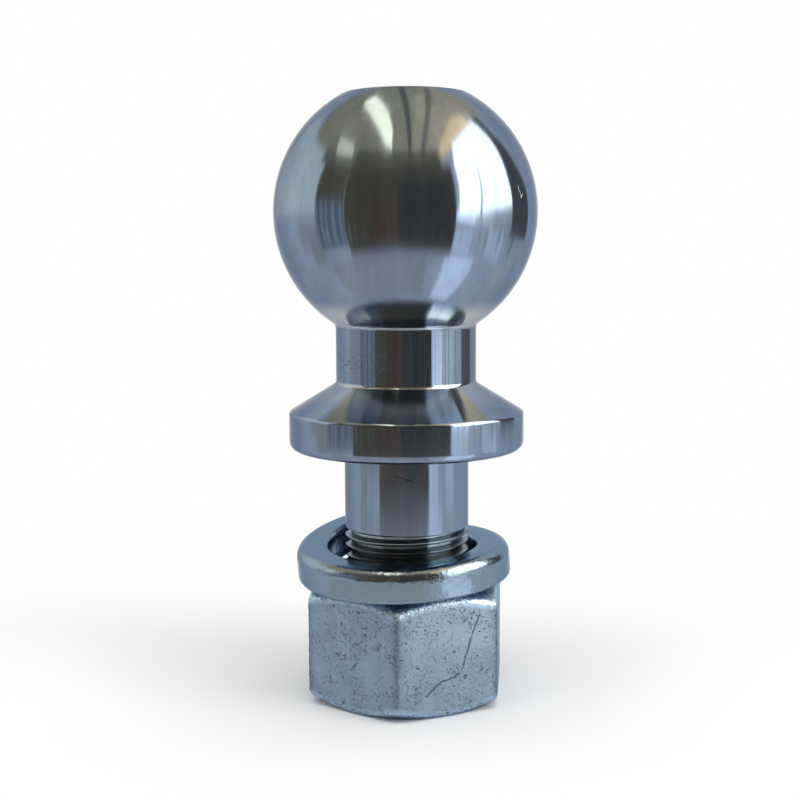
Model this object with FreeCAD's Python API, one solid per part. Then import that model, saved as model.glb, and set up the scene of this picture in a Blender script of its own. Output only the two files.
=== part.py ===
import FreeCAD, Part
import math
import os

# A 50 mm tow ball: one turned stud, a loose split spring washer and a hex nut.
# Millimetres. The origin is the centre of the seat, the flange's flat underside,
# and +Z runs up the axis to the ball.

V = FreeCAD.Vector
UP = V(0, 0, 1)
HERE = V(0, 0, 0)

# Ball: the coupling's standard size, with a turned flat on its crown.
ball_dia = 50.0
ball_height = 44.9          # seat to ball centre
crown_flat_dia = 23.6
crown_edge_round = 0.9

# Neck between the ball and the flange.
neck_dia = 26.9
neck_top_fillet = 1.2       # to the ball
neck_foot_fillet = 1.0      # to the cone
cone_foot_height = 12.75    # seat to where the cone meets the neck

# Flange: a cone above, a straight rim, a rounded lower edge.
flange_dia = 45.1
rim_height = 7.2            # seat to the cone's outer edge
rim_top_round = 0.9
rim_bottom_round = 1.7

# Shank: M24, plain under the seat and threaded below.
shank_dia = 24.0
plain_length = 15.0
thread_allowance = 0.10     # the thread's crests stand this far inside the plain diameter
thread_length = 33.1
end_chamfer = 1.6

# Nut: M24 hexagon nut on the thread, level with the stud's end.
nut_wall = 6.0              # from the shank's diameter out to a flat: 36 across flats
nut_height = 22.4
nut_corner_round = 1.3
nut_chamfer_angle = 30.0    # degrees, from the end face
nut_face_share = 0.955      # end face diameter over the width across flats
nut_bore_gap = 0.05         # radial, over the thread's crests
nut_mouth_chamfer = 1.0
nut_turn = -5.5             # degrees: how far the front corner stands off the -Y side

# Split spring washer, lying loose on the nut and round the shank.
washer_play = 2.2           # all round, between the shank and the ring
washer_section_width = 6.4
washer_thickness = 6.4
washer_outer_round = 2.2    # upper outer edge
washer_inner_round = 1.2    # upper inner edge
washer_lower_round = 0.7    # both lower edges
washer_rise = 5.0           # how far the free end has sprung up
washer_rise_power = 3.0     # the spring keeps flat, and kicks up towards its free end
washer_gap = 1.6            # between the cut ends, along the ring
washer_cut_slant = 20.0     # degrees off upright
washer_split_at = 90.0      # degrees: the cut lies at the back, +Y
washer_side_tilt = 4.2      # degrees: the loose ring lies with its +X side up
washer_front_tilt = 1.3     # degrees: and its back a little up
washer_offset_x = -0.4      # the loose ring lies a little off the axis
washer_offset_y = -0.3
washer_rest_gap = 0.02      # between its lowest point and the nut
washer_loft_steps = 24      # sections round the ring

# Worked out from the sizes above.
ball_r = ball_dia / 2
crown_r = crown_flat_dia / 2
neck_r = neck_dia / 2
flange_r = flange_dia / 2
shank_r = shank_dia / 2
thread_r = shank_r - thread_allowance / 2
stud_end_z = -(plain_length + thread_length)
nut_bottom_z = stud_end_z
nut_top_z = nut_bottom_z + nut_height
nut_across_flats = shank_dia + 2 * nut_wall
nut_face_r = nut_across_flats / 2 * nut_face_share
washer_mid_r = shank_r + washer_play + washer_section_width / 2
washer_outer_dia = 2 * washer_mid_r + washer_section_width


def revolve(edges):
    """Turn a closed profile in the XZ plane round the Z axis."""
    return Part.Face(Part.Wire(edges)).revolve(HERE, UP, 360)


def line(a, b):
    return Part.makeLine(V(a[0], 0, a[1]), V(b[0], 0, b[1]))


def arc(a, mid, b):
    return Part.Arc(V(a[0], 0, a[1]), V(mid[0], 0, mid[1]), V(b[0], 0, b[1])).toShape()


def rounded_outline(points, rounds):
    """Edges through (r, z) points, each corner rounded by its own radius (0 keeps it sharp)."""
    count = len(points)
    entries, exits, mids = [], [], []
    for i, (corner, radius) in enumerate(zip(points, rounds)):
        here = V(corner[0], 0, corner[1])
        before = V(points[i - 1][0], 0, points[i - 1][1])
        after = V(points[(i + 1) % count][0], 0, points[(i + 1) % count][1])
        to_before = (before - here).normalize()
        to_after = (after - here).normalize()
        half = to_before.getAngle(to_after) / 2
        setback = radius / math.tan(half)
        entries.append(here + to_before * setback)
        exits.append(here + to_after * setback)
        middle = (to_before + to_after).normalize()
        mids.append(here + middle * (radius / math.sin(half) - radius))
    edges = []
    for i in range(count):
        if rounds[i] > 0:
            edges.append(Part.Arc(entries[i], mids[i], exits[i]).toShape())
        edges.append(Part.makeLine(exits[i], entries[(i + 1) % count]))
    return edges


def strip_outline(points, rounds, strips):
    """Points round a closed (r, z) outline, each rounded corner drawn as that many flat strips."""
    outline = []
    count = len(points)
    for i, (corner, radius) in enumerate(zip(points, rounds)):
        here = V(corner[0], 0, corner[1])
        before = V(points[i - 1][0], 0, points[i - 1][1])
        after = V(points[(i + 1) % count][0], 0, points[(i + 1) % count][1])
        to_before = (before - here).normalize()
        to_after = (after - here).normalize()
        half = to_before.getAngle(to_after) / 2
        centre = here + (to_before + to_after).normalize() * (radius / math.sin(half))
        start = here + to_before * (radius / math.tan(half)) - centre
        turn = math.pi - 2 * half
        for step in range(strips[i] + 1):
            arm = V(start)
            axis = to_after.cross(to_before)
            spin = FreeCAD.Rotation(axis, math.degrees(turn) * step / strips[i])
            outline.append(centre + spin.multVec(arm))
    return outline


def ball():
    """The ball, with its crown cut flat and that edge rounded."""
    crown_z = math.sqrt(ball_r ** 2 - crown_r ** 2)
    # The edge round touches the sphere from inside, and the flat from below.
    centre_z = crown_z - crown_edge_round
    centre_r = math.sqrt((ball_r - crown_edge_round) ** 2 - centre_z ** 2)
    reach = ball_r / (ball_r - crown_edge_round)
    touch = (centre_r * reach, centre_z * reach)
    flat_end = (centre_r, crown_z)
    tilt = math.atan2(centre_z, centre_r)
    middle = (tilt + math.pi / 2) / 2
    bulge = (centre_r + crown_edge_round * math.cos(middle),
             centre_z + crown_edge_round * math.sin(middle))
    profile = [
        line((0, -ball_r), (0, crown_z)),
        line((0, crown_z), flat_end),
        arc(flat_end, bulge, touch),
        arc(touch, (ball_r, 0), (0, -ball_r)),
    ]
    solid = revolve(profile)
    solid.translate(V(0, 0, ball_height))
    return solid


def neck_fillet_ring():
    """Fills the corner between the ball and the neck with a hollow round."""
    f = neck_top_fillet
    centre_r = neck_r + f
    drop = math.sqrt((ball_r + f) ** 2 - centre_r ** 2)
    centre_z = ball_height - drop
    share = ball_r / (ball_r + f)
    on_ball = (centre_r * share, ball_height - drop * share)
    on_neck = (neck_r, centre_z)
    turn = (math.pi + math.atan2(drop, -centre_r)) / 2
    hollow = (centre_r + f * math.cos(turn), centre_z + f * math.sin(turn))
    inside_r = neck_r - 2 * f
    return revolve([
        line((inside_r, centre_z), on_neck),
        arc(on_neck, hollow, on_ball),
        line(on_ball, (inside_r, on_ball[1])),
        line((inside_r, on_ball[1]), (inside_r, centre_z)),
    ])


def stud_body():
    """Neck, flange, plain shank and the thread's outer cylinder, in one turning."""
    points = [
        (0, ball_height),
        (0, stud_end_z),
        (thread_r - end_chamfer, stud_end_z),
        (thread_r, stud_end_z + end_chamfer),
        (thread_r, -plain_length),
        (shank_r, -plain_length),
        (shank_r, 0),
        (flange_r, 0),
        (flange_r, rim_height),
        (neck_r, cone_foot_height),
        (neck_r, ball_height),
    ]
    rounds = [0, 0, 0, 0, 0, 0, 0, rim_bottom_round, rim_top_round, neck_foot_fillet, 0]
    return revolve(rounded_outline(points, rounds))


def ball_stud():
    return stud_body().fuse([ball(), neck_fillet_ring()]).removeSplitter()


def hex_prism():
    """The nut's six flats, with its upright corners rounded."""
    corner_r = nut_across_flats / 2 / math.cos(math.radians(30))
    corners = []
    for i in range(7):
        angle = math.radians(270 + nut_turn + 60 * i)
        corners.append(V(corner_r * math.cos(angle), corner_r * math.sin(angle), 0))
    prism = Part.Face(Part.makePolygon(corners)).extrude(V(0, 0, nut_height))
    upright = [e for e in prism.Edges if abs(e.tangentAt(e.FirstParameter).z) > 0.99]
    return prism.makeFillet(nut_corner_round, upright)


def nut_envelope():
    """A turned body that chamfers both ends of the hexagon at its corners."""
    wide_r = nut_across_flats * 0.62
    fall = (wide_r - nut_face_r) * math.tan(math.radians(nut_chamfer_angle))
    return revolve(rounded_outline(
        [(0, 0), (nut_face_r, 0), (wide_r, fall), (wide_r, nut_height - fall),
         (nut_face_r, nut_height), (0, nut_height)],
        [0] * 6))


def nut_bore():
    """The hole, opened by a short cone at each mouth."""
    bore_r = thread_r + nut_bore_gap
    mouth_r = bore_r + nut_mouth_chamfer
    return revolve(rounded_outline(
        [(0, 0), (mouth_r, 0), (bore_r, nut_mouth_chamfer),
         (bore_r, nut_height - nut_mouth_chamfer), (mouth_r, nut_height), (0, nut_height)],
        [0] * 6))


def hex_nut():
    nut = hex_prism().common(nut_envelope()).cut(nut_bore())
    nut.translate(V(0, 0, nut_bottom_z))
    return nut


def washer_lift(share):
    """How far the ring has risen, at a share of its turn from the low end to the free end."""
    return washer_rise * max(share, 0.0) ** washer_rise_power


def washer_point(share):
    """A point of the ring's lower middle line. The ring runs clockwise, seen from above."""
    angle = math.radians(washer_split_at - 360 * share)
    return V(washer_mid_r * math.cos(angle), washer_mid_r * math.sin(angle), washer_lift(share))


def washer_section(share, lean):
    """The ring's section at one share of its turn. lean slopes a cut end along the ring."""
    half = washer_section_width / 2
    outline = strip_outline(
        [(-half, 0), (half, 0), (half, washer_thickness), (-half, washer_thickness)],
        [washer_lower_round, washer_lower_round, washer_outer_round, washer_inner_round],
        [1, 1, 4, 2])
    leaning = [V(p.x, (p.z - washer_thickness / 2) * lean, p.z) for p in outline]
    section = Part.makePolygon(leaning + leaning[:1])
    section.rotate(HERE, UP, washer_split_at - 360 * share)
    section.translate(washer_point(share))
    return section


def split_ring():
    """The ring lofted from its low end round to its free end, with both ends cut on a slant."""
    gap_share = washer_gap / (2 * math.pi * washer_mid_r)
    cut_lean = math.tan(math.radians(washer_cut_slant))
    sections = []
    for i in range(washer_loft_steps + 1):
        share = gap_share / 2 + (1 - gap_share) * i / washer_loft_steps
        at_an_end = i in (0, washer_loft_steps)
        sections.append(washer_section(share, cut_lean if at_an_end else 0))
    return Part.makeLoft(sections, True, False)


def spring_washer():
    """The ring as it lies on the nut, tipped a little, its lowest point on the nut's face."""
    ring = split_ring()
    ring.rotate(HERE, V(0, 1, 0), -washer_side_tilt)
    ring.rotate(HERE, V(1, 0, 0), washer_front_tilt)
    span = 4 * washer_outer_dia
    under = Part.makePlane(span, span, V(-span / 2, -span / 2, -span))
    lowest = ring.distToShape(under)[0] - span
    ring.translate(V(washer_offset_x, washer_offset_y, nut_top_z - lowest))
    # The lowest point may overhang the nut's end face, so the ring then drops onto that face.
    end_face = Part.Face(Part.Wire(Part.makeCircle(nut_face_r, V(0, 0, nut_top_z))))
    ring.translate(V(0, 0, washer_rest_gap - ring.distToShape(end_face)[0]))
    return ring


def save(name, shape):
    """Check that a piece is one sound solid, and write its file."""
    solid = shape.Solids[0]
    if len(shape.Solids) != 1 or not solid.isValid():
        raise RuntimeError(name + " is not one valid solid")
    solid.exportStep(os.path.join("parts", name + ".step"))


os.makedirs("parts", exist_ok=True)
save("ball_stud", ball_stud())
save("spring_washer", spring_washer())
save("hex_nut", hex_nut())
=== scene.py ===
import math

import bmesh
import bpy
from bpy.props import FloatProperty, FloatVectorProperty, IntProperty, PointerProperty
from bpy.types import Operator, Panel, PropertyGroup
from mathutils import Matrix, Vector, noise


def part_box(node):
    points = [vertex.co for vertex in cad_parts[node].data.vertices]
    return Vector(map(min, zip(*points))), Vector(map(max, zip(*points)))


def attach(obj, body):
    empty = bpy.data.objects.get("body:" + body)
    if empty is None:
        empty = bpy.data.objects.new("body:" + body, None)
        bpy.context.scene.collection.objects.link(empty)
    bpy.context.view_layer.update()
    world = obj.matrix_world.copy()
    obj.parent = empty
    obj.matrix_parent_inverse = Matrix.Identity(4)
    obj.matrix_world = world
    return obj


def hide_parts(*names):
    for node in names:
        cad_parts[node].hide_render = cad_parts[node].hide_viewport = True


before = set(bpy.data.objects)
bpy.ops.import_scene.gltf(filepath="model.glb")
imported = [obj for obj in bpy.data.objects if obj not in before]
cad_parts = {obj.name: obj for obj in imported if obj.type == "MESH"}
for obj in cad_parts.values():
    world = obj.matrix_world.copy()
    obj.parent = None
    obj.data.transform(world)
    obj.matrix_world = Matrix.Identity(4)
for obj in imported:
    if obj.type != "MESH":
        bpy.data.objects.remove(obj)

bl_info = {
    "name": "Tow ball with spring washer and nut",
    "version": (1, 0, 0),
    "blender": (4, 5, 0),
    "location": "View3D > Sidebar > Tow ball",
    "description": "Builds the turned ball stud, its spring washer and its hex nut",
    "category": "Object",
}

MM = 0.001
STUD_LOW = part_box("ball_stud")[0]
NUT_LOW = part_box("hex_nut")[0]

# One unit of the stud's V is this long, on its outline.
V_LENGTH = 100 * MM

# Angles round the axis: half of what one side of the hexagon takes up, and the front, -Y.
HALF_SIDE = math.radians(30)
FRONT = math.radians(270)


def signed_length(name, description, default_mm, **limits):
    """A size in metres, given here in millimetres."""
    return FloatProperty(name=name, description=description, default=default_mm * MM,
                         precision=5, subtype="DISTANCE", unit="LENGTH", **limits)


def length(name, description, default_mm):
    return signed_length(name, description, default_mm, min=0.0)


def angle(name, description, degrees):
    return FloatProperty(name=name, description=description, default=math.radians(degrees),
                         subtype="ANGLE", unit="ROTATION")


def share(name, description, default):
    return FloatProperty(name=name, description=description, default=default,
                         min=0.0, max=1.0, subtype="FACTOR")


def colour(name, description, default):
    return FloatVectorProperty(name=name, description=description, default=default,
                               size=3, min=0.0, max=1.0, subtype="COLOR")


class StudSizes(PropertyGroup):
    """Sizes of the ball stud."""

    ball_dia: length("Ball diameter", "Diameter of the coupling ball", 50.0)
    ball_height: length("Ball height", "Seat to the ball's centre", 44.9)
    crown_dia: length("Crown flat", "Diameter of the flat on the ball's crown", 23.6)
    crown_round: length("Crown round", "Round of the crown flat's edge", 0.9)
    neck_dia: length("Neck diameter", "Diameter of the neck", 26.9)
    neck_top_fillet: length("Neck top fillet", "Hollow round between neck and ball", 1.2)
    neck_foot_fillet: length("Neck foot fillet", "Hollow round between neck and cone", 1.0)
    cone_foot: length("Cone foot", "Seat to where the cone meets the neck", 12.75)
    flange_dia: length("Flange diameter", "Diameter of the flange", 45.1)
    rim_height: length("Rim height", "Seat to the cone's outer edge", 7.2)
    rim_top_round: length("Rim top round", "Round of the rim's upper edge", 0.9)
    rim_bottom_round: length("Rim bottom round", "Round of the rim's lower edge", 1.7)
    shank_dia: length("Shank diameter", "Diameter of the plain shank", 24.0)
    plain_length: length("Plain length", "Seat to where the thread starts", 15.0)
    thread_dia: length("Thread diameter", "Diameter over the thread's crests", 23.9)
    thread_pitch: length("Thread pitch", "Rise of the thread in one turn", 1.8)
    thread_depth: length("Thread depth", "Crest to root", 1.08)
    thread_runout: length("Thread run-out", "Length over which the first groove deepens", 0.35)
    thread_crest_at: length("Crest below seat", "A crest at the front, below the seat", 16.46)
    end_chamfer: length("End chamfer", "Chamfer at the stud's end", 1.6)
    columns: IntProperty(name="Columns", description="Divisions round the stud",
                         default=160, min=24, max=256)


class RingSizes(PropertyGroup):
    """Sizes of the split spring washer."""

    play: length("Play", "Gap between the shank and the ring, all round", 2.2)
    width: length("Section width", "Width of the ring's section", 6.4)
    thickness: length("Section thickness", "Thickness of the ring's section", 6.4)
    outer_round: length("Outer round", "Round of the upper outer edge", 2.2)
    inner_round: length("Inner round", "Round of the upper inner edge", 1.2)
    lower_round: length("Lower round", "Round of both lower edges", 0.7)
    rise: length("Rise", "How far the free end has sprung up", 5.0)
    rise_power: FloatProperty(name="Rise power", description="How late the ring kicks up",
                              default=3.0, min=1.0, max=6.0)
    gap: length("Gap", "Gap between the cut ends", 1.6)
    cut_slant: angle("Cut slant", "Slant of the cut, off upright", 20.0)
    split_at: angle("Split at", "Where the cut lies, from +X", 90.0)
    side_tilt: angle("Side tilt", "The +X side lies this much up", 4.2)
    front_tilt: angle("Front tilt", "The back lies this much up", 1.3)
    offset_x: signed_length("Offset X", "The loose ring's place along X", -0.4)
    offset_y: signed_length("Offset Y", "The loose ring's place along Y", -0.3)
    steps: IntProperty(name="Steps", description="Sections round the ring",
                       default=180, min=24, max=360)


class NutSizes(PropertyGroup):
    """Sizes of the hex nut."""

    across_flats: length("Across flats", "Width across the flats", 36.0)
    height: length("Height", "Height of the nut", 22.4)
    corner_round: length("Corner round", "Round of the six upright corners", 1.3)
    edge_round: length("Edge round", "Rolled round where the flats meet the chamfers", 1.5)
    chamfer: angle("Chamfer", "Chamfer angle from the end face", 30.0)
    face_share: share("Face share", "End face diameter over the across flats", 0.955)
    bore_dia: length("Bore diameter", "Diameter of the bore", 24.0)
    mouth: length("Mouth chamfer", "Chamfer at each end of the bore", 1.0)
    turn: angle("Turn", "How far the front corner stands off the -Y side", -5.5)
    skin: length("Skin relief", "Depth of the forged skin's unevenness", 0.05)
    edge_wear: FloatProperty(name="Edge wear", description="How much rougher the edges are",
                             default=3.2, min=0.0)
    columns: IntProperty(name="Columns", description="Divisions round the nut",
                         default=540, min=60, max=720)
    rows: IntProperty(name="Rows", description="Divisions up the nut's sides",
                      default=84, min=10, max=120)


class Finish(PropertyGroup):
    """Colours of the finishes. The metals are darker than real ones, as the studio is white."""

    chrome: colour("Turned metal", "Colour of the turned stud", (0.185, 0.24, 0.33))
    # Painted reflected light: the ball's foot and the cone's top take this lighter colour, in place
    # of light that bounces between them.
    bounce_light_colour: colour("Polished metal", "Colour of the ball's foot and the cone's top",
                     (0.46, 0.50, 0.52))
    washer: colour("Washer zinc", "Colour of the plated washer", (0.19, 0.257, 0.33))
    nut: colour("Nut zinc", "Colour of the plated nut", (0.232, 0.312, 0.40))
    scar: colour("Scars", "Colour of pits and scratches in the plating", (0.03, 0.035, 0.04))
    # The bare cut thread's colour, made lighter also as painted reflected light, in place of light
    # that bounces between the thread and the washer.
    thread: colour("Thread metal", "Colour of the bare cut thread", (0.27, 0.33, 0.37))
    bright_scratch: colour("Bright scratch", "Colour of fresh metal in a scratch",
                           (0.6, 0.66, 0.7))
    floor: colour("Floor", "Colour of the studio floor", (0.86, 0.86, 0.86))


class CameraSizes(PropertyGroup):
    """Where the camera stands."""

    distance: length("Distance", "Camera to the stud's axis", 241.9)
    height: length("Camera height", "Camera above the seat", 36.76)
    pitch: angle("Pitch", "Camera looks down this much", 6.5)
    yaw: angle("Yaw", "Camera looks this much to the left", 0.2835)
    roll: angle("Roll", "Camera leans this much clockwise", 0.287)
    focal_share: FloatProperty(name="Focal share", default=1263 / 800,
                               description="Focal length over the picture's width")


# Mesh helpers

def rounded_profile(points, rounds, steps):
    """(r, z) points with each corner drawn as an arc of its own radius and steps."""
    profile = []
    for i, (here, radius) in enumerate(zip(points, rounds)):
        here = Vector(here)
        if radius <= 0:
            profile.append(here)
            continue
        to_before = (Vector(points[i - 1]) - here).normalized()
        to_after = (Vector(points[i + 1]) - here).normalized()
        half = to_before.angle(to_after) / 2
        centre = here + (to_before + to_after).normalized() * (radius / math.sin(half))
        start = here + to_before * (radius / math.tan(half)) - centre
        end = here + to_after * (radius / math.tan(half)) - centre
        for step in range(steps[i] + 1):
            t = step / steps[i]
            arm = start.slerp(end, t) if start.angle(end) > 1e-4 else start
            profile.append(centre + arm.normalized() * radius)
    return profile


def arc(centre, radius, first, last, steps):
    """(r, z) points round a centre, from one angle to another."""
    turns = [first + (last - first) * i / steps for i in range(steps + 1)]
    return [Vector((centre[0] + radius * math.cos(a), centre[1] + radius * math.sin(a)))
            for a in turns]


def lathe_into(bm, profile, columns):
    """Turn an (r, z) profile round Z into bm, with a UV map: U runs round, V runs along."""
    uv = bm.loops.layers.uv.verify()
    along = [0.0]
    for a, b in zip(profile, profile[1:]):
        along.append(along[-1] + (Vector(b) - Vector(a)).length)
    rings = []
    for r, z in profile:
        if r < 1e-9:
            rings.append([bm.verts.new((0, 0, z))] * (columns + 1))
            continue
        ring = []
        for i in range(columns):
            turn = 2 * math.pi * i / columns
            ring.append(bm.verts.new((r * math.cos(turn), r * math.sin(turn), z)))
        rings.append(ring + ring[:1])
    for j in range(len(rings) - 1):
        low, high = rings[j], rings[j + 1]
        for i in range(columns):
            corners = [(low[i], i, j), (low[i + 1], i + 1, j),
                       (high[i + 1], i + 1, j + 1), (high[i], i, j + 1)]
            kept = []
            for corner in corners:
                if not kept or all(corner[0] != k[0] for k in kept):
                    kept.append(corner)
            face = bm.faces.new([k[0] for k in kept])
            for loop, (_, column, row) in zip(face.loops, kept):
                loop[uv].uv = (column / columns, along[row] / V_LENGTH)


def finish_mesh(bm, name, material, sharp_angle=28.0):
    """Write bm to a new object: doubles merged, normals outward, smooth with its edges sharp."""
    bmesh.ops.remove_doubles(bm, verts=bm.verts, dist=0.002 * MM)
    bmesh.ops.recalc_face_normals(bm, faces=bm.faces)
    mesh = bpy.data.meshes.new(name)
    bm.to_mesh(mesh)
    bm.free()
    mesh.materials.clear()
    mesh.materials.append(material)
    mesh.shade_smooth()
    mesh.set_sharp_from_angle(angle=math.radians(sharp_angle))
    obj = bpy.data.objects.new(name, mesh)
    bpy.context.scene.collection.objects.link(obj)
    return obj


# Node helpers

class Nodes:
    """Short calls for building a node tree."""

    def __init__(self, tree):
        self.tree = tree

    def add(self, kind, inputs=None, **settings):
        node = self.tree.nodes.new(kind)
        for key, value in settings.items():
            setattr(node, key, value)
        for key, value in (inputs or {}).items():
            self.feed(node.inputs[key], value)
        return node

    def feed(self, socket, value):
        if isinstance(value, bpy.types.NodeSocket):
            self.tree.links.new(value, socket)
        else:
            socket.default_value = value

    def math(self, operation, a, b=None, clamp=False):
        given = {0: a} if b is None else {0: a, 1: b}
        return self.add("ShaderNodeMath", given, operation=operation, use_clamp=clamp).outputs[0]

    def times(self, a, b):
        return self.math("MULTIPLY", a, b)

    def plus(self, a, b, **settings):
        return self.math("ADD", a, b, **settings)

    def minus(self, a, b, **settings):
        return self.math("SUBTRACT", a, b, **settings)

    def larger(self, a, b, **settings):
        return self.math("MAXIMUM", a, b, **settings)

    def vector(self, operation, a, b, output=0):
        return self.add("ShaderNodeVectorMath", {0: a, 1: b}, operation=operation).outputs[output]

    def ramp(self, value, low, high, to_low=0.0, to_high=1.0):
        """Map value smoothly from low..high to to_low..to_high."""
        node = self.add("ShaderNodeMapRange", interpolation_type="SMOOTHSTEP")
        for key, given in zip(("Value", "From Min", "From Max", "To Min", "To Max"),
                              (value, low, high, to_low, to_high)):
            self.feed(node.inputs[key], given)
        return node.outputs[0]

    def noise(self, vector, scale, detail=2.0, roughness=0.5, distortion=0.0):
        node = self.add("ShaderNodeTexNoise", {
            "Vector": vector, "Scale": scale, "Detail": detail,
            "Roughness": roughness, "Distortion": distortion})
        return node.outputs["Fac"]

    def mix(self, factor, a, b):
        node = self.add("ShaderNodeMix", data_type="RGBA")
        self.feed(node.inputs["Factor"], factor)
        self.feed(node.inputs[6], a)
        self.feed(node.inputs[7], b)
        return node.outputs[2]

    def near_lines(self, spot, lines, width):
        """1 on the drawn lines (pairs of points), 0 beyond width from them."""
        nearest = None
        for start, end in lines:
            start, run = Vector(start), Vector(end) - Vector(start)
            from_start = self.vector("SUBTRACT", spot, start)
            along = self.vector("DOT_PRODUCT", from_start, run / run.length_squared, "Value")
            foot = self.add("ShaderNodeVectorMath", {
                0: run, "Scale": self.plus(along, 0.0, clamp=True)}, operation="SCALE")
            gap = self.vector("DISTANCE", from_start, foot.outputs[0], "Value")
            nearest = gap if nearest is None else self.math("MINIMUM", nearest, gap)
        return self.ramp(nearest, 0.3 * width, width, 1.0, 0.0)

    def between(self, value, rise_from, rise_to, fall_from, fall_to):
        """1 between two heights, with a smooth rise and a smooth fall to 0."""
        return self.times(self.ramp(value, rise_from, rise_to),
                          self.ramp(value, fall_from, fall_to, 1.0, 0.0))

    def spot_in_mm(self):
        """The spot on the piece, in millimetres."""
        place = self.add("ShaderNodeTexCoord").outputs["Object"]
        return self.add("ShaderNodeMapping", {
            "Vector": place, "Scale": (1 / MM, 1 / MM, 1 / MM)}).outputs[0]


def new_material(name):
    """A material with one Principled shader. Gives it, its Nodes and the shader node."""
    material = bpy.data.materials.new(name)
    material.use_nodes = True
    shader = material.node_tree.nodes["Principled BSDF"]
    return material, Nodes(material.node_tree), shader


def rgba(rgb, gain=1.0):
    return (rgb[0] * gain, rgb[1] * gain, rgb[2] * gain, 1.0)


def finish_metal(n, shader, base, tint, roughness, height, depth):
    """Join a metal's colours, its roughness and its relief to the shader."""
    n.feed(shader.inputs["Base Color"], base)
    shader.inputs["Metallic"].default_value = 1.0
    shader.inputs["Specular Tint"].default_value = rgba(tint)
    n.feed(shader.inputs["Roughness"], roughness)
    bump = n.add("ShaderNodeBump", {"Height": height, "Distance": depth, "Strength": 1.0})
    n.feed(shader.inputs["Normal"], bump.outputs[0])


# Finishes

# Bright scratches on the ball, and dark ones on the rim and the shank, in mm.
BRIGHT_SCRATCHES = [
    ((20.0, -14.5, 49.3), (20.7, -13.9, 47.0)), ((20.7, -13.9, 47.0), (21.2, -13.0, 48.6)),
]
DARK_SCRATCHES = [
    ((4.84, -21.94, 5.31), (6.43, -21.53, 3.47)), ((6.43, -21.53, 3.47), (8.02, -20.99, 1.68)),
    ((-2.2, -11.8, -3.7), (-0.5, -12.0, -4.1)), ((-0.5, -12.0, -4.1), (1.3, -11.93, -4.7)),
]
# The crack on the nut's right front flat: across the flat from its middle, and height.
NUT_CRACK = [(6.5, -29.4), (5.2, -32.4), (4.1, -35.7), (3.4, -37.8), (2.8, -39.7),
             (1.2, -40.6), (-1.5, -41.3), (-4.5, -43.4)]

# Heights above the seat, in mm. Each band of pits has its middle and its reach.
PIT_BANDS = [(17.0, 4.5), (24.8, 2.0)]
# Where the painted reflected light on the ball's foot and the cone's top starts, is full, starts to
# fade and ends.
BALL_FOOT = (23.2, 24.2, 25.5, 29.0)
CONE_TOP = (8.0, 12.0, 12.8, 13.4)

# The patterns read millimetres, so a noise of scale 2 has about two grains a millimetre.


def pit_places(n, axes):
    """1 where pits lie: in front, mostly on the left, on the neck's foot and low on the ball."""
    bands = []
    for middle, reach in PIT_BANDS:
        off = n.math("ABSOLUTE", n.minus(axes[2], middle))
        bands.append(n.minus(1.0, n.math("DIVIDE", off, reach), clamp=True))
    # Few pits lie right of the middle, and none on the back.
    left = n.ramp(axes[0], -9.0, 1.0, 1.0, 0.06)
    front = n.ramp(axes[1], -2.0, 4.0, 1.0, 0.0)
    return n.times(n.times(n.larger(*bands), left), front)


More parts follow.
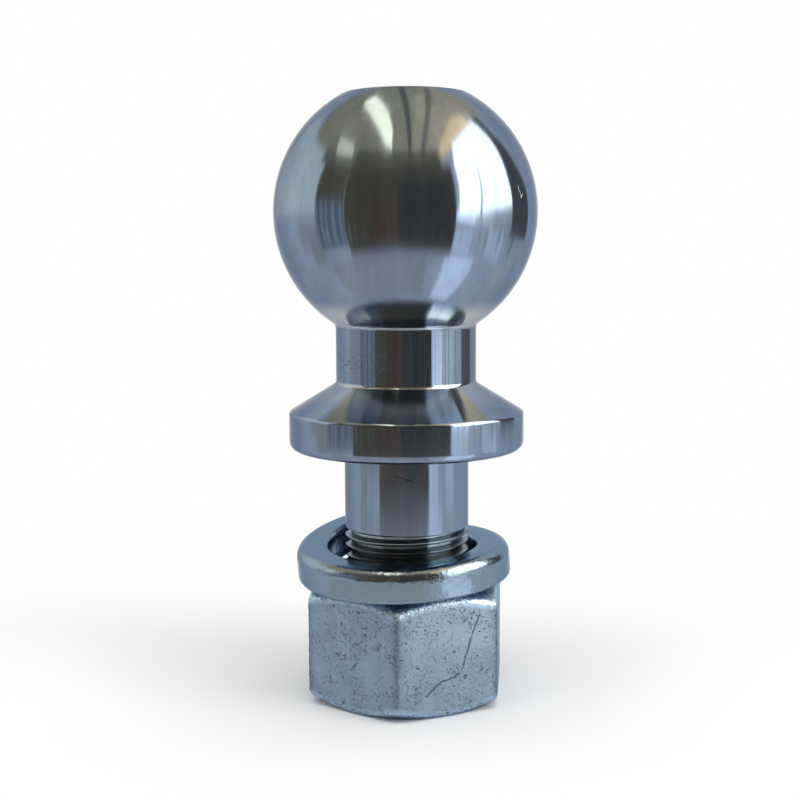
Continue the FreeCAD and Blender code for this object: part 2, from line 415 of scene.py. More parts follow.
def turned_chrome():
    """Bright turned metal: fine rings from the tool, a little haze, pits and scratches."""
    finish = bpy.context.scene.tow_finish
    thread_top = -bpy.context.scene.tow_stud.plain_length / MM
    material, n, shader = new_material("turned_chrome")
    in_mm = n.spot_in_mm()
    axes = n.add("ShaderNodeSeparateXYZ", {"Vector": in_mm}).outputs
    uv = n.add("ShaderNodeUVMap", uv_map="UVMap").outputs[0]
    path = n.add("ShaderNodeSeparateXYZ", {"Vector": uv}).outputs[1]
    # The tool's lines are long round the axis, and lie 1.9 to a millimetre along the outline.
    rings = n.add("ShaderNodeCombineXYZ", {
        "X": n.times(axes[0], 0.12), "Y": n.times(axes[1], 0.12),
        "Z": n.times(path, V_LENGTH / MM * 1.9)}).outputs[0]
    tool_lines = n.noise(rings, 1.0, detail=3.0, roughness=0.7)
    haze = n.noise(in_mm, 0.12, detail=3.0)
    grain = n.noise(in_mm, 6.0, detail=2.0, roughness=0.6)
    dots = n.noise(in_mm, 2.6, detail=2.0, roughness=0.5)
    pits = n.times(n.ramp(dots, 0.60, 0.65), pit_places(n, axes))
    scratches = n.near_lines(in_mm, BRIGHT_SCRATCHES, 0.10)
    marks = n.larger(pits, scratches, clamp=True)
    dark = n.larger(pits, n.near_lines(in_mm, DARK_SCRATCHES, 0.14))
    height = n.plus(tool_lines, n.times(grain, 0.35))
    height = n.minus(height, n.times(marks, 12.0))
    # The plain shank keeps coarser turning lines than the ball and the neck.
    depth = n.ramp(axes[2], -1.0, 0.0, 0.006 * MM, 0.003 * MM)
    thread = n.ramp(axes[2], thread_top - 0.3, thread_top, 1.0, 0.0)
    metal = n.mix(n.ramp(tool_lines, 0.35, 0.65),
                  rgba(finish.chrome, 0.9), rgba(finish.chrome, 1.11))
    # A lighter metal stands in for light that passes between the ball's foot and the cone.
    metal = n.mix(n.between(axes[2], *BALL_FOOT), metal, rgba(finish.bounce_light_colour))
    # Painted reflected light on the cone's top too, at 0.4 of full strength.
    cone = n.times(n.between(axes[2], *CONE_TOP), 0.4)
    metal = n.mix(cone, metal, rgba(finish.bounce_light_colour))
    # The thread is bare metal, and lighter also as painted reflected light in place of light
    # bounced in from the washer.
    metal = n.mix(thread, metal, rgba(finish.thread))
    metal = n.mix(n.times(dark, 0.8), metal, rgba(finish.scar))
    metal = n.mix(n.times(scratches, 0.45), metal, rgba(finish.bright_scratch))
    duller = n.times(n.larger(marks, thread), 0.07)
    roughness = n.plus(n.ramp(haze, 0.3, 0.7, 0.10, 0.13), duller)
    finish_metal(n, shader, metal, (0.52, 0.54, 0.60), roughness, height, depth)
    # A quarter turn lays the smear across the turned lines, as tool marks do.
    shader.inputs["Anisotropic"].default_value = 1.0
    shader.inputs["Anisotropic Rotation"].default_value = 0.25
    return material


def zinc_washer():
    """Smooth plated spring steel: a clean sheen, shallow ripples, few marks."""
    finish = bpy.context.scene.tow_finish
    material, n, shader = new_material("zinc_washer")
    in_mm = n.spot_in_mm()
    cloud = n.noise(in_mm, 0.35, detail=4.0)
    ripple = n.noise(in_mm, 0.9, detail=2.0)
    speckle = n.noise(in_mm, 4.0, detail=3.0, roughness=0.65)
    marks = n.times(n.ramp(speckle, 0.63, 0.68), n.ramp(cloud, 0.48, 0.57))
    metal = n.mix(n.times(marks, 0.8), rgba(finish.washer), rgba(finish.scar))
    height = n.plus(n.times(ripple, 8.0), speckle)
    height = n.minus(height, n.times(marks, 4.0))
    finish_metal(n, shader, metal, (0.5, 0.58, 0.68), n.ramp(cloud, 0.3, 0.7, 0.10, 0.22),
                 height, 0.01 * MM)
    return material


def crack_line(nut):
    """The crack's straight runs, on the flat to the right of the front corner."""
    out = nut.turn + HALF_SIDE
    apothem = nut.across_flats / 2 / MM
    spots = [(apothem * math.sin(out) + u * math.cos(out),
              -apothem * math.cos(out) + u * math.sin(out), z) for u, z in NUT_CRACK]
    return list(zip(spots, spots[1:]))


def zinc_nut():
    """Plated forged steel: a wrinkled skin with dark specks, hairlines and one crack."""
    finish = bpy.context.scene.tow_finish
    material, n, shader = new_material("zinc_nut")
    in_mm = n.spot_in_mm()
    edge = n.add("ShaderNodeAttribute", attribute_name="edge").outputs["Fac"]
    corner = n.add("ShaderNodeAttribute", attribute_name="corner").outputs["Fac"]
    cloud = n.noise(in_mm, 0.22, detail=3.0)
    fine = n.noise(in_mm, 2.4, detail=4.0, roughness=0.7)
    wrinkle = n.noise(in_mm, 1.0, detail=1.5, distortion=1.0)
    hairs = n.ramp(n.math("ABSOLUTE", n.minus(wrinkle, 0.5)), 0.012, 0.035, 1.0, 0.0)
    breaks = n.ramp(n.noise(in_mm, 1.5, detail=1.0), 0.48, 0.54)
    patches = n.ramp(n.noise(in_mm, 0.25, detail=2.0), 0.36, 0.5)
    hairs = n.times(n.times(hairs, breaks), patches)
    # Specks gather on the edges and the corners.
    speckle = n.noise(in_mm, 1.9, detail=3.0, roughness=0.75)
    speckle = n.plus(speckle, n.times(n.larger(edge, corner), 0.07))
    specks = n.ramp(speckle, 0.66, 0.70)
    # Noise shifts the spot, so that the crack runs ragged.
    shift = n.add("ShaderNodeTexNoise", {"Vector": in_mm, "Scale": 1.2, "Detail": 3.0})
    ragged = n.vector("ADD", in_mm, shift.outputs["Color"])
    ragged = n.vector("SUBTRACT", ragged, (0.5, 0.5, 0.5))
    crack = n.near_lines(ragged, crack_line(bpy.context.scene.tow_nut), 0.3)
    scars = n.larger(n.larger(hairs, specks), crack, clamp=True)
    shade = n.mix(n.ramp(cloud, 0.3, 0.7), rgba(finish.nut, 0.9), rgba(finish.nut, 1.08))
    # The upright corners are darker.
    shade = n.mix(n.times(corner, 0.8), shade, rgba(finish.nut, 0.62))
    # Painted highlight: the rolled edges are lighter, in place of the light they catch.
    shade = n.mix(edge, shade, rgba(finish.nut, 1.8))
    shade = n.mix(n.times(scars, 0.75), shade, rgba(finish.scar))
    roughness = n.minus(n.ramp(fine, 0.3, 0.7, 0.30, 0.44), n.times(edge, 0.12))
    height = n.minus(fine, n.times(scars, 0.6))
    finish_metal(n, shader, shade, (0.6, 0.68, 0.78), roughness, height, 0.11 * MM)
    return material


# Ball stud

# Flats of the thread's section, as shares of its pitch. Sixteen rows meet all its corners.
ROOT_FLAT = 0.25
CREST_FLAT = 0.125
ROWS_A_TURN = 16
# The front is three quarters of a turn on from +X, where the rows of the thread start.
FRONT_SHARE = 0.75

ROUND_STEPS = 8
BALL_STEPS = 100


def thread_tree(material):
    """Geometry nodes: one skin over the whole thread, its rows following the helix."""
    tree = bpy.data.node_groups.new("thread_skin", "GeometryNodeTree")
    face = tree.interface
    face.new_socket("Geometry", in_out="OUTPUT", socket_type="NodeSocketGeometry")
    for name in ("Pitch", "Depth", "Crest Radius", "Top", "Bottom", "Run-out",
                 "Chamfer", "Crest Height"):
        face.new_socket(name, in_out="INPUT", socket_type="NodeSocketFloat")
    for name in ("Columns", "Turns", "Rows per Turn"):
        face.new_socket(name, in_out="INPUT", socket_type="NodeSocketInt")
    n = Nodes(tree)
    given = n.add("NodeGroupInput").outputs
    rows = n.times(given["Turns"], given["Rows per Turn"])
    grid = n.add("GeometryNodeMeshGrid", {
        "Size X": 1.0, "Size Y": 1.0,
        "Vertices X": n.plus(given["Columns"], 1.0), "Vertices Y": n.plus(rows, 1.0)})
    spot = n.add("ShaderNodeSeparateXYZ",
                 {"Vector": n.add("GeometryNodeInputPosition").outputs[0]}).outputs
    round_share = n.plus(spot[0], 0.5)
    # Whole rows only, so that every turn has its corners on the same rows.
    row = n.math("ROUND", n.times(n.plus(spot[1], 0.5), rows))
    turn = n.math("DIVIDE", row, given["Rows per Turn"])
    rise = n.times(given["Pitch"], n.minus(round_share, turn))
    free_z = n.plus(given["Crest Height"], rise)
    z = n.math("MINIMUM", n.larger(free_z, given["Bottom"]), given["Top"])
    wave = n.times(n.math("ABSOLUTE", n.minus(n.math("FRACT", turn), 0.5)), 2.0)
    flank = n.add("ShaderNodeMapRange", {
        "Value": wave, "From Min": ROOT_FLAT, "From Max": 1 - CREST_FLAT,
        "To Min": 1.0, "To Max": 0.0}).outputs[0]
    below_top = n.math("DIVIDE", n.minus(given["Top"], z), given["Run-out"], clamp=True)
    groove = n.times(n.times(flank, below_top), given["Depth"])
    cut = n.minus(given["Crest Radius"], groove)
    above_end = n.minus(z, given["Bottom"])
    end_cone = n.plus(n.minus(given["Crest Radius"], given["Chamfer"]), above_end)
    radius = n.math("MINIMUM", cut, end_cone)
    theta = n.times(round_share, 2 * math.pi)
    moved = n.add("GeometryNodeSetPosition", {
        "Geometry": grid.outputs["Mesh"],
        "Position": n.add("ShaderNodeCombineXYZ", {
            "X": n.times(radius, n.math("COSINE", theta)),
            "Y": n.times(radius, n.math("SINE", theta)), "Z": z}).outputs[0]})
    shared = n.add("GeometryNodeMergeByDistance", {
        "Geometry": moved.outputs[0], "Distance": 0.001 * MM})
    realized = n.add("GeometryNodeRealizeInstances", {"Geometry": shared.outputs[0]})
    painted = n.add("GeometryNodeSetMaterial", {
        "Geometry": realized.outputs[0], "Material": material})
    n.feed(n.add("NodeGroupOutput").inputs[0], painted.outputs[0])
    return tree


def run_tree(tree, values, name):
    """Evaluate a geometry nodes tree once and give its result as a plain mesh."""
    holder = bpy.data.objects.new(name + "_holder", bpy.data.meshes.new(name + "_holder"))
    bpy.context.scene.collection.objects.link(holder)
    modifier = holder.modifiers.new(name, "NODES")
    modifier.node_group = tree
    for item in tree.interface.items_tree:
        if item.item_type == "SOCKET" and item.in_out == "INPUT" and item.name in values:
            modifier[item.identifier] = values[item.name]
    bpy.context.view_layer.update()
    graph = bpy.context.evaluated_depsgraph_get()
    mesh = bpy.data.meshes.new_from_object(holder.evaluated_get(graph))
    holder.modifiers.remove(modifier)
    bpy.data.objects.remove(holder)
    return mesh


def stud_profiles(s):
    """(r, z) outlines above and below the thread, from the thread outward."""
    ball_r, crown_r, neck_r = s.ball_dia / 2, s.crown_dia / 2, s.neck_dia / 2
    shank_r, thread_r, flange_r = s.shank_dia / 2, s.thread_dia / 2, s.flange_dia / 2
    fillet = s.neck_top_fillet
    # Neck fillet: touches the ball from outside.
    middle_r = neck_r + fillet
    drop = math.sqrt((ball_r + fillet) ** 2 - middle_r ** 2)
    reach = ball_r / (ball_r + fillet)
    on_ball = (middle_r * reach, s.ball_height - drop * reach)
    fillet_z = s.ball_height - drop
    last = math.atan2(on_ball[1] - fillet_z, on_ball[0] - middle_r)
    hollow = arc((middle_r, fillet_z), fillet, math.pi, last, ROUND_STEPS)
    # Crown round: touches the sphere from inside.
    crown_z = math.sqrt(ball_r ** 2 - crown_r ** 2)
    round_z = crown_z - s.crown_round
    round_r = math.sqrt((ball_r - s.crown_round) ** 2 - round_z ** 2)
    tilt = math.atan2(round_z, round_r)
    crown = arc((round_r, s.ball_height + round_z), s.crown_round, tilt, math.pi / 2,
                ROUND_STEPS)
    foot = math.atan2(-drop * reach, on_ball[0])
    ball = arc((0, s.ball_height), ball_r, foot, tilt, BALL_STEPS)
    lower = rounded_profile(
        [(thread_r, -s.plain_length), (shank_r, -s.plain_length + 0.05 * MM), (shank_r, 0),
         (flange_r, 0), (flange_r, s.rim_height), (neck_r, s.cone_foot), hollow[0]],
        [0, 0, 0, s.rim_bottom_round, s.rim_top_round, s.neck_foot_fillet, 0],
        [0, 0, 0, 10, ROUND_STEPS, ROUND_STEPS, 0])
    flat = [Vector((crown_r * part, s.ball_height + crown_z)) for part in (0.75, 0.5, 0.25, 0.0)]
    end_r = thread_r - s.end_chamfer
    lower_end = [Vector((end_r * part, STUD_LOW.z)) for part in (0.0, 0.5, 1.0)]
    return lower_end, lower + hollow[1:] + ball[1:] + crown[1:] + flat


def thread_uv(bm):
    """U runs round the thread and V runs up it, on the turned surfaces' own scale."""
    uv = bm.loops.layers.uv.verify()
    for face in bm.faces:
        middle = face.calc_center_median()
        base = math.atan2(middle.y, middle.x)
        for loop in face.loops:
            here = math.atan2(loop.vert.co.y, loop.vert.co.x)
            here = base + math.remainder(here - base, 2 * math.pi)
            loop[uv].uv = (here / (2 * math.pi), loop.vert.co.z / V_LENGTH)


class TOWBALL_OT_stud(Operator):
    """Build the turned ball stud with its thread"""

    bl_idname = "towball.stud"
    bl_label = "Ball stud"

    def execute(self, context):
        s = context.scene.tow_stud
        material = turned_chrome()
        top = -s.plain_length
        # The first crest lies above the thread's top, so that the rows cover all of it.
        crest = -s.thread_crest_at - FRONT_SHARE * s.thread_pitch
        while crest < top:
            crest += s.thread_pitch
        turns = math.ceil((crest + s.thread_pitch - STUD_LOW.z) / s.thread_pitch)
        thread = run_tree(thread_tree(material), {
            "Pitch": s.thread_pitch, "Depth": s.thread_depth, "Crest Radius": s.thread_dia / 2,
            "Top": top, "Bottom": STUD_LOW.z, "Run-out": s.thread_runout,
            "Chamfer": s.end_chamfer, "Crest Height": crest, "Columns": s.columns,
            "Turns": turns, "Rows per Turn": ROWS_A_TURN}, "thread")
        bm = bmesh.new()
        bm.from_mesh(thread)
        thread_uv(bm)
        lower_end, upper = stud_profiles(s)
        lathe_into(bm, lower_end, s.columns)
        lathe_into(bm, upper, s.columns)
        stud = finish_mesh(bm, "ball_stud_turned", material)
        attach(stud, "stud")
        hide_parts("ball_stud")
        return {"FINISHED"}


# Spring washer

# The cut's slant fades out over this share of the ring.
SLANT_FADE = 0.05


def ring_outline(s):
    """The section's (across, up) outline, from the lower inner corner outward."""
    half = s.width / 2
    corners = [(-half, 0), (half, 0), (half, s.thickness), (-half, s.thickness)]
    closed = corners[-1:] + corners + corners[:1]
    rounds = [0, s.lower_round, s.lower_round, s.outer_round, s.inner_round, 0]
    profile = rounded_profile(closed, rounds, [0, 4, 4, 10, 8, 0])
    return profile[1:-1]


def ring_sections(s, middle_r):
    """The ring's sections, from one cut end round to the other, tipped as the ring lies."""
    gap_share = s.gap / (2 * math.pi * middle_r)
    tilt = Matrix.Rotation(s.front_tilt, 4, "X") @ Matrix.Rotation(-s.side_tilt, 4, "Y")
    outline = ring_outline(s)
    sections = []
    for i in range(s.steps + 1):
        part = gap_share / 2 + (1 - gap_share) * i / s.steps
        near_end = max(0.0, 1 - min(i, s.steps - i) / (SLANT_FADE * s.steps))
        lift = s.rise * part ** s.rise_power
        section = []
        for across, up in outline:
            lean = (up - s.thickness / 2) * math.tan(s.cut_slant) * near_end
            turn = s.split_at - 2 * math.pi * part - lean / middle_r
            section.append(tilt @ Vector(((middle_r + across) * math.cos(turn),
                                          (middle_r + across) * math.sin(turn), up + lift)))
        sections.append(section)
    return sections


class TOWBALL_OT_washer(Operator):
    """Build the split spring washer that lies loose on the nut"""

    bl_idname = "towball.washer"
    bl_label = "Spring washer"

    def execute(self, context):
        s = context.scene.tow_ring
        middle_r = context.scene.tow_stud.shank_dia / 2 + s.play + s.width / 2
        bm = bmesh.new()
        sections = [[bm.verts.new(spot) for spot in section]
                    for section in ring_sections(s, middle_r)]
        for a, b in zip(sections, sections[1:]):
            for k in range(len(a)):
                bm.faces.new((a[k - 1], a[k], b[k], b[k - 1]))
        bm.faces.new(sections[0])
        bm.faces.new(list(reversed(sections[-1])))
        # The ring is set down as low as the CAD ring lies.
        lowest = min(v.co.z for v in bm.verts)
        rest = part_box("spring_washer")[0].z
        down = Vector((s.offset_x, s.offset_y, rest - lowest))
        bmesh.ops.translate(bm, verts=bm.verts, vec=down)
        washer = finish_mesh(bm, "spring_washer_plated", zinc_washer(), sharp_angle=35.0)
        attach(washer, "washer")
        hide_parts("spring_washer")
        return {"FINISHED"}


# Hex nut

ROUND_SHARE = 0.9
EDGE_STEPS = 6
# The skin comes in over this distance outward of the end faces.
SKIN_START = 0.4 * MM


def off_flat(s, turn):
    """Angle from the middle of the nearest flat: the corners are half a side away."""
    return (turn - FRONT - s.turn) % (2 * HALF_SIDE) - HALF_SIDE


def hex_radius(s, turn):
    """Distance from the axis to the hexagon's side at an angle, its corners rounded."""
    apothem = s.across_flats / 2
    off_face = off_flat(s, turn)
    off_corner = HALF_SIDE - abs(off_face)
    # The corner round's own centre and reach, seen from the axis.
    centre = (apothem - s.corner_round) / math.cos(HALF_SIDE)
    touch = math.atan2(math.sin(HALF_SIDE) * s.corner_round,
                       centre + math.cos(HALF_SIDE) * s.corner_round)
    inside = s.corner_round ** 2 - (centre * math.sin(off_corner)) ** 2
    if off_corner < touch and inside > 0:
        return centre * math.cos(off_corner) + math.sqrt(inside)
    return apothem / math.cos(off_face)


def nut_column(s, turn, rows):
    """The (r, z) outline of the nut at one angle: end face, chamfer, side, chamfer, bore."""
    side_r = hex_radius(s, turn)
    face_r = s.across_flats / 2 * s.face_share
    chamfer_long = (side_r - face_r) / math.cos(s.chamfer)
    fall = (side_r - face_r) * math.tan(s.chamfer)
    bore_r, mouth_r = s.bore_dia / 2, s.bore_dia / 2 + s.mouth
    height = s.height
    # The round takes up no more than a share of the chamfer.
    bend = (math.radians(90) - s.chamfer) / 2
    edge = min(s.edge_round, ROUND_SHARE * chamfer_long / math.tan(bend))
    profile = rounded_profile(
        [(bore_r, s.mouth), (mouth_r, 0), (face_r, 0), (side_r, fall),
         (side_r, height - fall), (face_r, height), (mouth_r, height),
         (bore_r, height - s.mouth), (bore_r, s.mouth)],
        [0, 0, 0, edge, edge, 0, 0, 0, 0], [0, 0, 0, EDGE_STEPS, EDGE_STEPS, 0, 0, 0, 0])
    # The lower round ends the first part, and rows fill the side up to the upper one.
    split = 3 + EDGE_STEPS + 1
    low, high = profile[split - 1], profile[split]
    side = [low.lerp(high, i / rows) for i in range(1, rows)]
    return profile[:split] + side + profile[split:-1]


def nut_skin(s, turn, r, z):
    """The forged skin's dip at a spot on the nut's outside, and how near the spot is to a
    rolled edge and to an upright corner."""
    off_corner = HALF_SIDE - abs(off_flat(s, turn))
    past_face = r - s.across_flats / 2 * s.face_share
    fall = past_face * math.tan(s.chamfer)
    reach = ROUND_SHARE * s.edge_round
    rolled = max(0.0, 1 - min(abs(z - fall), abs(s.height - fall - z)) / reach)
    corner = max(0.0, 1 - r * off_corner / reach)
    wear = 1 + s.edge_wear * max(rolled, corner)
    spot = Vector((r * math.cos(turn), r * math.sin(turn), z)) / MM
    dip = 0.5 + 0.35 * noise.noise(spot * 0.7) + 0.6 * noise.noise(spot * 1.7)
    outside = min(1.0, max(0.0, past_face / SKIN_START))
    return s.skin * wear * max(0.0, dip) * outside, rolled * outside, corner * outside


class TOWBALL_OT_nut(Operator):
    """Build the hex nut with its forged skin"""

    bl_idname = "towball.nut"
    bl_label = "Hex nut"

    def execute(self, context):
        s = context.scene.tow_nut
        bm = bmesh.new()
        edge = bm.verts.layers.float.new("edge")
        corner = bm.verts.layers.float.new("corner")
        lines = []
        for i in range(s.columns):
            turn = 2 * math.pi * i / s.columns + FRONT + s.turn
            line = []
            for r, z in nut_column(s, turn, s.rows):
                dip, at_edge, at_corner = nut_skin(s, turn, r, z)
                spot = ((r - dip) * math.cos(turn), (r - dip) * math.sin(turn), NUT_LOW.z + z)
                line.append(bm.verts.new(spot))
                line[-1][edge] = at_edge
                line[-1][corner] = at_corner
            lines.append(line)
        for i in range(s.columns):
            a, b = lines[i - 1], lines[i]
            for k in range(len(a)):
                bm.faces.new((a[k - 1], b[k - 1], b[k], a[k]))
        nut = finish_mesh(bm, "hex_nut_plated", zinc_nut(), sharp_angle=35.0)
        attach(nut, "nut")
        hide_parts("hex_nut")
        return {"FINISHED"}


# Studio

# How far apart cards on one plane lie, and where the planes are, in metres.
LIFT = 0.4 * MM
CEILING_UP = 0.6
RIGHT_WALL = 0.438
FLOOR_RADIUS = 6.0
# The floor is lit near the object, and plain white from the second distance on.
FLOOR_FADE = (0.05, 0.20)
# How bright the white backdrop looks, and how much of it lights the object.
BACKDROP_SEEN = 1.0
BACKDROP_LIGHT = 0.45

LAMPS = [
    # name, place, size, watts
    ("top", (0.0, -0.1, 0.9), 0.9, 6.0),
    ("right", (0.7, -0.4, 0.6), 0.5, 3.0),
    ("left", (-0.7, -0.4, 0.5), 0.6, 1.5),
]

# The cards stand for the room that the polished metal shows.
WALL_CARDS = [
    # name, from, to (degrees, 0 in front), low, high, distance (mm), colour, strength if not 1
    ("front_left", -49, -25, -93, 97, 162, (0.23, 0.175, 0.105)),
    ("front_left_top", -49, -25, 97, 168, 162, (0.30, 0.25, 0.16)),
    ("front_brown", -25, -5, -93, 11, 161, (0.235, 0.145, 0.095)),
    ("front_over_brown", -25, -5, 11, 97, 162, (0.21, 0.16, 0.10)),
    ("front_brown_top", -25, -5, 97, 173, 162, (0.33, 0.27, 0.18)),
    ("front_dark", -5, 33, -93, 65, 162, (0.135, 0.125, 0.10)),
    ("front_over_dark", -5, 33, 65, 119, 162, (0.22, 0.18, 0.12)),
    ("front_dark_top", -5, 33, 119, 173, 162, (0.40, 0.32, 0.21)),
    ("front_red", 33, 40, -93, 108, 162, (0.15, 0.115, 0.10)),
    ("left_slats", -76, -49, -68, 20, 150, (0.34, 0.36, 0.38)),
    ("left_brown", -76, -49, 20, 88, 150, (0.27, 0.21, 0.125)),
    ("left_upper", -84, -49, 88, 122, 150, (0.42, 0.36, 0.24)),
    ("left_grey", -90, -76, -93, -20, 152, (0.80, 0.74, 0.66)),
    ("left_pink", -99, -90, -60, -12, 149, (0.86, 0.80, 0.76)),
    ("left_light", -146, -80, 4, 460, 600, (1.0, 0.97, 0.82), 1.5),
]

# Pale slats on the left: their bearings, then low, high and distance (mm).
SLATS = (-74.5, -70.5, -69, -65, -59.5, -57.8, -52)
SLAT_PLACE = (-60, 20, 149)
# Thin upright bars low in the room: low, high and distance (mm).
BAR_PLACE = (-62, -26, 147)
# Bearing and half width (degrees), strength.
LOW_BARS = [(-66, 0.8, 0.75), (-58, 0.5, 0.7), (-45, 0.6, 0.42), (-40, 0.4, 0.36),
            (-33, 0.5, 0.30), (-27, 0.4, 0.10), (-16, 0.5, 0.12), (-3, 0.5, 0.08),
            (7, 0.4, 0.22), (16, 0.5, 0.09), (22, 0.4, 0.24), (29, 0.6, 0.2),
            (46, 0.6, 0.9), (52, 0.4, 1.2), (58, 0.9, 1.0), (63, 0.5, 0.5), (70, 0.8, 0.6),
            (76, 0.5, 1.5), (84, 0.9, 0.5), (92, 0.6, 1.3), (102, 0.8, 0.35)]


def band(from_deg, to_deg, near, far):
    """Corners of a band on the ground in front: bearings, and distances in mm."""
    bearings = [from_deg + (to_deg - from_deg) * i / 10 for i in range(11)]
    spots = [(near, b) for b in bearings] + [(far, b) for b in reversed(bearings)]
    return [(d * math.sin(math.radians(b)), -d * math.cos(math.radians(b))) for d, b in spots]


# The ground darkens in steps before the dark things in front.
FADE_FIRST = band(-75, 20, 45, 124)
FADE_NEAR = band(-49, 40, 124, 137)
FADE_MID = band(-49, 40, 137, 149)
FADE_FAR = band(-49, 40, 149, 161)

FLAT_CARDS = {
    # Each plane has rows of name, corners (mm on that plane), colour, strength if not 1.
    "ceiling": [
        ("ceiling_left", [(-900, -800), (-230, -800), (-230, 560), (-380, 560), (-900, 300)],
         (0.81, 0.65, 0.40)),
        ("ceiling_mid", [(-230, -800), (60, -800), (60, 560), (-230, 560)], (0.96, 0.79, 0.50)),
        ("ceiling_right", [(60, -800), (438, -800), (438, 560), (60, 560)], (1.36, 1.03, 0.62)),
        ("strip", [(-220, 273), (-147, 308), (-100, 0), (-89, -222), (-127, -472), (-177, -414),
         (-190, -222), (-223, 152)], (1.0, 0.85, 0.53), 5.3),
        ("lamp_left", [(-510, -21), (-452, -248), (-675, -512), (-702, -160)],
         (1.0, 0.90, 0.56), 2.3),
        ("beam_a", [(-40, 450), (-8, 450), (66, -500), (34, -500)], (0.36, 0.32, 0.24)),
        ("beam_b", [(90, 450), (120, 450), (200, -560), (160, -560)], (0.55, 0.47, 0.34)),
        ("pelmet", [(300, -143), (290, 60), (340, 170), (438, 170), (438, -420), (400, -500),
         (330, -420)], (1.0, 0.62, 0.28), 3.1),
    ],
    "right": [
        ("window", [(-500, -20), (-250, -20), (-127, 0), (82, 30), (84, 139), (108, 233),
         (160, 400), (202, 600), (-294, 600), (-398, 418), (-405, 233), (-435, 0)],
         (1.0, 0.95, 0.82), 5.6),
        ("window_foot", [(-500, -93), (-250, -93), (-250, -20), (-500, -20)],
         (1.0, 1.0, 1.0), 2.6),
        ("sill_left", [(-250, -93), (-87, -93), (-87, 6), (-127, 0), (-250, -20)],
         (1.0, 0.98, 0.9), 1.3),
        ("sill_right", [(-87, -93), (81, -93), (81, 30), (-87, 6)], (1.0, 0.98, 0.95), 0.9),
        ("right_dark", [(81, -93), (338, -93), (333, 91), (264, 196), (250, 413), (360, 600),
         (202, 600), (160, 400), (108, 233), (84, 139)], (0.24, 0.20, 0.18)),
        ("mullion", [(-214, -30), (-198, -30), (-143, 350), (-150, 350)], (0.5, 0.52, 0.55)),
    ],
    "ground": [
        ("near_right", [(24, -33), (80, -112), (125, -56), (38, -17)], (1.0, 1.02, 1.05), 1.9),
        ("fade_first", FADE_FIRST, (0.90, 0.85, 0.78)),
        ("fade_near", FADE_NEAR, (1.0, 0.98, 0.95), 0.82),
        ("fade_mid", FADE_MID, (1.0, 0.96, 0.92), 0.6),
        ("fade_far", FADE_FAR, (1.0, 0.94, 0.88), 0.38),
        ("ground_right", [(330, -190), (420, -150), (438, 120), (345, 90)], (1.0, 1.0, 1.0), 0.5),
        ("ground_far", [(241, -267), (329, -147), (436, -194), (436, -484)], (1.0, 1.0, 1.0), 0.7),
        ("glare_a", [(96, -112), (116, -76), (300, -190), (250, -290)], (1.0, 1.03, 1.05), 1.35),
        ("glare_b", [(150, -42), (152, 8), (436, 20), (430, -125)], (1.0, 1.03, 1.05), 1.4),
    ],
}


def plain_object(name, points, faces, material):
    mesh = bpy.data.meshes.new(name)
    mesh.from_pydata(points, [], faces)
    mesh.materials.append(material)
    obj = bpy.data.objects.new(name, mesh)
    bpy.context.scene.collection.objects.link(obj)
    return obj


def card(name, points, faces, rgb, strength):
    """A card with its own plain light. It works on polished metal alone: it is unseen, and it
    casts no shade."""
    material = bpy.data.materials.new("card_" + name)
    material.use_nodes = True
    n = Nodes(material.node_tree)
    n.tree.nodes.clear()
    light = n.add("ShaderNodeEmission", {"Color": rgba(rgb), "Strength": strength})
    n.feed(n.add("ShaderNodeOutputMaterial").inputs[0], light.outputs[0])
    obj = plain_object("card_" + name, points, faces, material)
    obj.visible_camera = False
    obj.visible_diffuse = False
    obj.visible_transmission = False
    obj.visible_shadow = False


def flat_card(plane, lift, name, corners_mm, rgb, strength=1.0):
    """A flat card on one plane of the room: the ceiling, the window wall or the ground."""
    centre = bpy.context.scene.tow_stud.ball_height
    place = {
        "ceiling": lambda a, b: (a, b, centre + CEILING_UP - lift),
        "right": lambda a, b: (RIGHT_WALL - lift, a, max(centre + b, STUD_LOW.z + LIFT)),
        "ground": lambda a, b: (a, b, STUD_LOW.z + lift),
    }[plane]
    points = [place(a * MM, b * MM) for a, b in corners_mm]
    card(name, points, [tuple(range(len(points)))], rgb, strength)


def wall_card(name, from_deg, to_deg, low_mm, high_mm, distance_mm, rgb, strength=1.0):
    """An upright card curved round the ball. Its heights are from the ball's centre."""
    centre = bpy.context.scene.tow_stud.ball_height
    steps = max(1, int(abs(to_deg - from_deg) / 5))
    points = []
    for i in range(steps + 1):
        bearing = math.radians(from_deg + (to_deg - from_deg) * i / steps)
        for up_mm in (low_mm, high_mm):
            points.append((distance_mm * MM * math.sin(bearing),
                           -distance_mm * MM * math.cos(bearing),
                           max(centre + up_mm * MM, STUD_LOW.z + LIFT)))
    faces = [(2 * i, 2 * i + 2, 2 * i + 3, 2 * i + 1) for i in range(steps)]
    card(name, points, faces, rgb, strength)


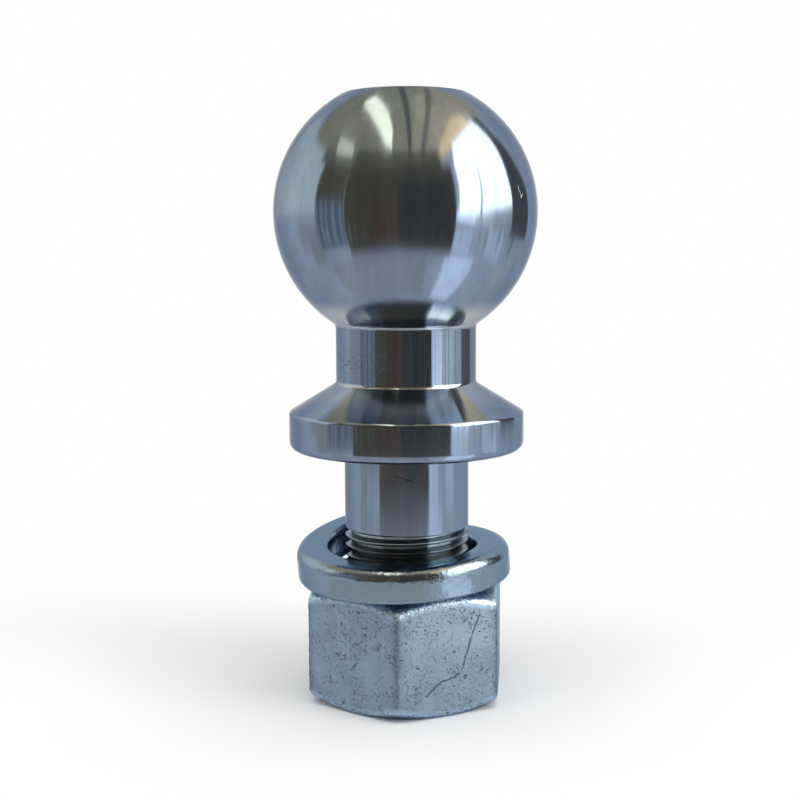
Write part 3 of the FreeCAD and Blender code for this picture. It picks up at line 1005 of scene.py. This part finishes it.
class TOWBALL_OT_studio(Operator):
    """Build the floor, the cards, the lamps, the backdrop and the camera"""

    bl_idname = "towball.studio"
    bl_label = "Studio"

    def execute(self, context):
        self.floor(context.scene.tow_finish)
        self.cards()
        self.lamps(context.scene)
        self.backdrop(context.scene)
        self.camera(context.scene)
        context.scene.view_settings.view_transform = "Standard"
        return {"FINISHED"}

    def floor(self, finish):
        material, n, shader = new_material("studio_floor")
        place = n.add("ShaderNodeTexCoord").outputs["Object"]
        away = n.add("ShaderNodeVectorMath", {0: place}, operation="LENGTH").outputs["Value"]
        shader.inputs["Base Color"].default_value = rgba(finish.floor)
        shader.inputs["Roughness"].default_value = 0.9
        shader.inputs["Specular IOR Level"].default_value = 0.0
        white = n.add("ShaderNodeEmission", {"Color": (1, 1, 1, 1), "Strength": 1.0})
        fade = n.add("ShaderNodeMixShader", {
            0: n.ramp(away, *FLOOR_FADE), 1: shader.outputs[0], 2: white.outputs[0]})
        n.feed(n.tree.nodes["Material Output"].inputs[0], fade.outputs[0])
        around = [(FLOOR_RADIUS * math.cos(math.radians(a)),
                   FLOOR_RADIUS * math.sin(math.radians(a)), STUD_LOW.z)
                  for a in range(0, 360, 10)]
        plain_object("floor", around, [tuple(range(len(around)))], material)

    def cards(self):
        for row in WALL_CARDS:
            wall_card(*row)
        for at in SLATS:
            wall_card(f"slat_{-at}", at - 0.5, at + 0.5, *SLAT_PLACE, (0.66, 0.70, 0.72))
        for at, half, strength in LOW_BARS:
            wall_card(f"bar_{at}", at - half, at + half, *BAR_PLACE, (1.0, 0.97, 0.92), strength)
        # Cards on one plane lie a little apart, in the order of the list.
        flat = [(plane, row) for plane, rows in FLAT_CARDS.items() for row in rows]
        for i, (plane, row) in enumerate(flat):
            flat_card(plane, LIFT * (1 + i), *row)

    def lamps(self, scene):
        for name, spot, size, watts in LAMPS:
            data = bpy.data.lights.new("lamp_" + name, "AREA")
            data.shape = "SQUARE"
            data.size = size
            data.energy = watts
            lamp = bpy.data.objects.new("lamp_" + name, data)
            lamp.location = spot
            # Each lamp looks at the seat's centre.
            lamp.rotation_euler = (-Vector(spot)).to_track_quat("-Z", "Y").to_euler()
            lamp.visible_glossy = False
            scene.collection.objects.link(lamp)

    def backdrop(self, scene):
        world = bpy.data.worlds.new("studio")
        world.use_nodes = True
        scene.world = world
        n = Nodes(world.node_tree)
        n.tree.nodes.clear()
        path = n.add("ShaderNodeLightPath").outputs
        seen = n.plus(path["Is Camera Ray"], path["Is Glossy Ray"])
        seen = n.plus(seen, path["Is Transmission Ray"], clamp=True)
        light, plain = [n.add("ShaderNodeBackground", {"Color": (1, 1, 1, 1), "Strength": strength})
                        for strength in (BACKDROP_LIGHT, BACKDROP_SEEN)]
        pick = n.add("ShaderNodeMixShader", {0: seen, 1: light.outputs[0], 2: plain.outputs[0]})
        n.feed(n.add("ShaderNodeOutputWorld").inputs[0], pick.outputs[0])

    def camera(self, scene):
        s = scene.tow_camera
        data = bpy.data.cameras.new("camera")
        data.sensor_width = 36.0
        data.lens = data.sensor_width * s.focal_share
        data.clip_start = 0.01
        camera = bpy.data.objects.new("camera", data)
        turn = (Matrix.Rotation(s.yaw, 4, "Z")
                @ Matrix.Rotation(math.radians(90) - s.pitch, 4, "X")
                @ Matrix.Rotation(-s.roll, 4, "Z"))
        camera.matrix_world = Matrix.Translation((0, -s.distance, s.height)) @ turn
        scene.collection.objects.link(camera)
        scene.camera = camera


# Panel and run

class TOWBALL_PT_panel(Panel):
    """Sizes, colours and build buttons of the tow ball"""

    bl_idname = "TOWBALL_PT_panel"
    bl_label = "Tow ball"
    bl_space_type = "VIEW_3D"
    bl_region_type = "UI"
    bl_category = "Tow ball"

    def draw(self, context):
        layout = self.layout
        for title, group, operator in (
                ("Ball stud", "tow_stud", "towball.stud"),
                ("Spring washer", "tow_ring", "towball.washer"),
                ("Hex nut", "tow_nut", "towball.nut"),
                ("Finish", "tow_finish", None),
                ("Camera", "tow_camera", "towball.studio")):
            box = layout.box()
            box.label(text=title)
            values = getattr(context.scene, group)
            for name in values.__annotations__:
                box.prop(values, name)
            if operator:
                box.operator(operator)


GROUPS = {"tow_stud": StudSizes, "tow_ring": RingSizes, "tow_nut": NutSizes,
          "tow_finish": Finish, "tow_camera": CameraSizes}
CLASSES = (*GROUPS.values(), TOWBALL_OT_stud, TOWBALL_OT_washer, TOWBALL_OT_nut,
           TOWBALL_OT_studio, TOWBALL_PT_panel)


def register():
    for cls in CLASSES:
        bpy.utils.register_class(cls)
    for name, group in GROUPS.items():
        setattr(bpy.types.Scene, name, PointerProperty(type=group))


def unregister():
    for name in GROUPS:
        delattr(bpy.types.Scene, name)
    for cls in reversed(CLASSES):
        bpy.utils.unregister_class(cls)


def corners(bounds):
    return [[float(value) for value in corner] for corner in bounds]


def main():
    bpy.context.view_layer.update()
    register()
    bpy.ops.towball.stud()
    bpy.ops.towball.washer()
    bpy.ops.towball.nut()
    bpy.ops.towball.studio()


if __name__ == "__main__":
    main()
